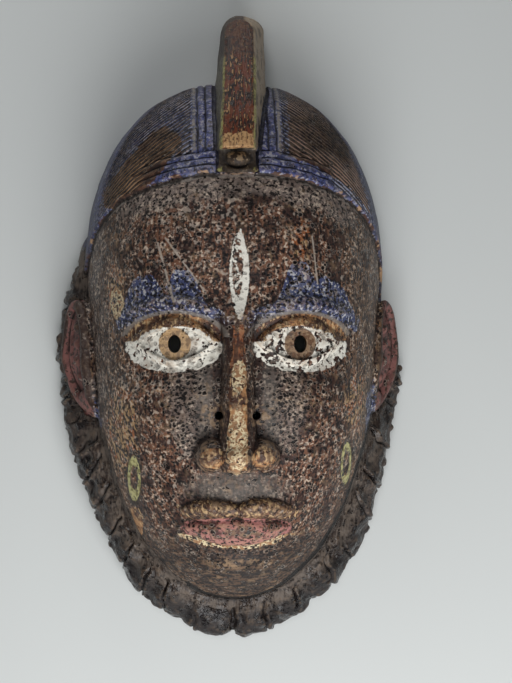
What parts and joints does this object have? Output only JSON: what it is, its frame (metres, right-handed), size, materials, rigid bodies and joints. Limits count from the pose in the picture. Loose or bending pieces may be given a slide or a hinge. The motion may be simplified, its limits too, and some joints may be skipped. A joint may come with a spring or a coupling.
{
  "type": "ceremonial mask",
  "caption": "Carved wooden face mask with a hollow back, upright crest, incised cap, pierced pupils, side ears and a curled beard round the jaw.",
  "frame": {"origin": "centre of the bounding box's bottom face, in the plane of the flat back rim on which the mask lies", "axes": "+Z out of the face, +Y from the chin to the crest, +X to the viewer's right when looking at the face"},
  "size_m": [0.1948, 0.3594, 0.1244],
  "materials": {
    "painted_wood": "old crackled brown and black paint, rubbed to bare wood on the ridges, satin"
  },
  "bodies": {
    "root": {"carved_mask": "painted_wood"}
  },
  "joints": []
}
